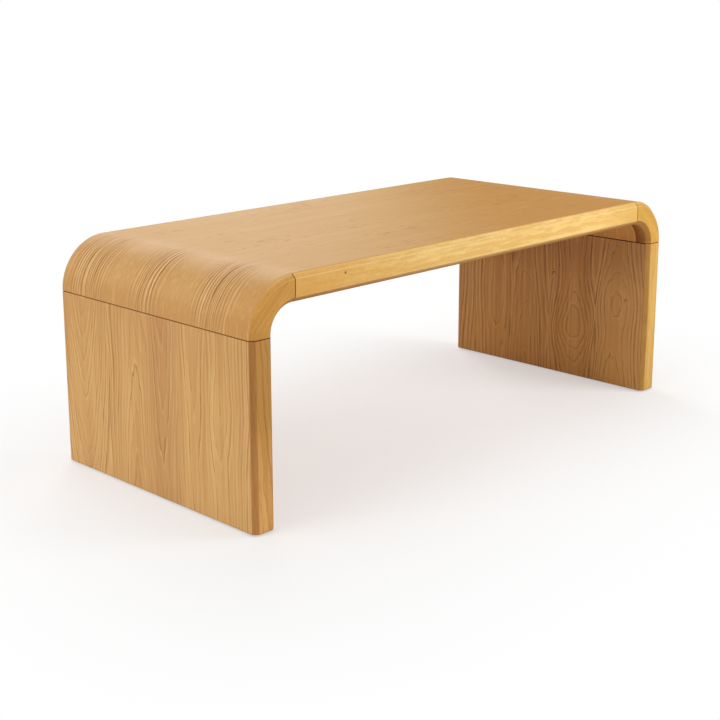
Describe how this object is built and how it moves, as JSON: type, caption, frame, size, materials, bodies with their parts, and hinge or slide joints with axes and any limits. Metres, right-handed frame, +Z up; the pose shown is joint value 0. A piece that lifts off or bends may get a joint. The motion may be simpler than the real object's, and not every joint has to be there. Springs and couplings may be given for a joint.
{
  "type": "waterfall coffee table",
  "caption": "Low rectangular oak-veneered coffee table whose flat top turns down through rounded bends onto slab legs, with chamfered solid lippings on every edge.",
  "frame": {"origin": "on the floor, under the middle of the top", "axes": "+X along the table's length, +Y from its front to its back, +Z up"},
  "size_m": [1.1, 0.5, 0.4],
  "materials": {
    "oak_veneer": "satin lacquered crown-cut oak veneer",
    "oak_lipping": "satin lacquered solid oak",
    "core_board": "raw blockboard",
    "bent_plywood": "raw moulded plywood",
    "softwood_rail": "planed softwood",
    "beech": "raw beech",
    "glide_plastic": "moulded dark brown nylon",
    "nail_steel": "bright drawn steel"
  },
  "bodies": {
    "root": {"top_veneer": "oak_veneer", "underside_veneer": "oak_veneer", "left_bend_inner_veneer": "oak_veneer", "left_leg_outer_veneer": "oak_veneer", "left_leg_inner_veneer": "oak_veneer", "right_bend_inner_veneer": "oak_veneer", "right_leg_outer_veneer": "oak_veneer", "right_leg_inner_veneer": "oak_veneer", "front_top_lipping": "oak_lipping", "back_top_lipping": "oak_lipping", "left_front_corner_lipping": "oak_lipping", "left_back_corner_lipping": "oak_lipping", "left_leg_front_lipping": "oak_lipping", "left_leg_back_lipping": "oak_lipping", "right_front_corner_lipping": "oak_lipping", "right_back_corner_lipping": "oak_lipping", "right_leg_front_lipping": "oak_lipping", "right_leg_back_lipping": "oak_lipping", "top_core": "core_board", "left_leg_core": "core_board", "right_leg_core": "core_board", "left_bend_core": "bent_plywood", "right_bend_core": "bent_plywood", "left_leg_head_rail": "softwood_rail", "left_leg_foot_rail": "softwood_rail", "right_leg_head_rail": "softwood_rail", "right_leg_foot_rail": "softwood_rail", "left_core_spline": "beech", "left_leg_dowels": "beech", "right_core_spline": "beech", "right_leg_dowels": "beech", "left_front_glide": "glide_plastic", "left_back_glide": "glide_plastic", "right_front_glide": "glide_plastic", "right_back_glide": "glide_plastic", "glide_nails": "nail_steel"}
  },
  "joints": []
}
